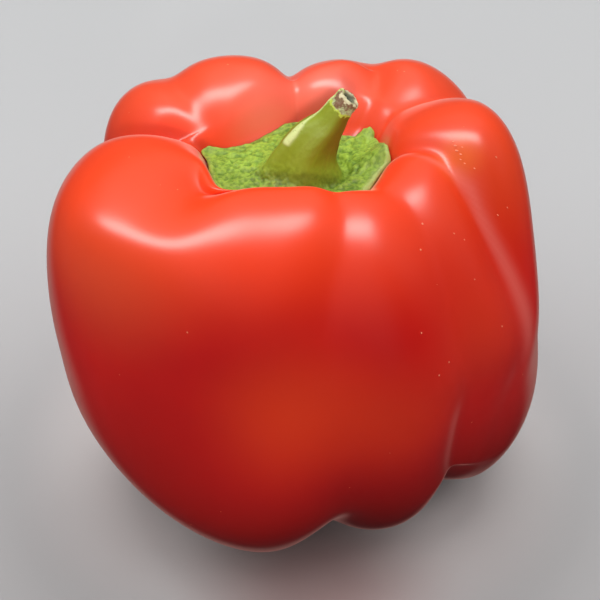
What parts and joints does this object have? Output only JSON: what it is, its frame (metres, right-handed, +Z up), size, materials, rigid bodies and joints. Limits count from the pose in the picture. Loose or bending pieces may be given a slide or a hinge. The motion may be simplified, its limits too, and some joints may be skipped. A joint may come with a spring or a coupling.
{
  "type": "bell pepper",
  "caption": "Whole ripe red blocky bell pepper standing on the feet of its lobes, with a deep dimple holding a green calyx and a short leaning stalk.",
  "frame": {"origin": "on the ground, under the middle of the pepper's bounding box", "axes": "+Z up, the way the stalk grows; +X along the widest width; -Y is the front that the picture shows"},
  "size_m": [0.0944, 0.0846, 0.0856],
  "materials": {
    "red_skin": "smooth waxy skin",
    "green_stalk": "bumpy green calyx and ridged stalk"
  },
  "bodies": {
    "root": {"pod": "red_skin", "calyx_and_stalk": "green_stalk"}
  },
  "joints": []
}
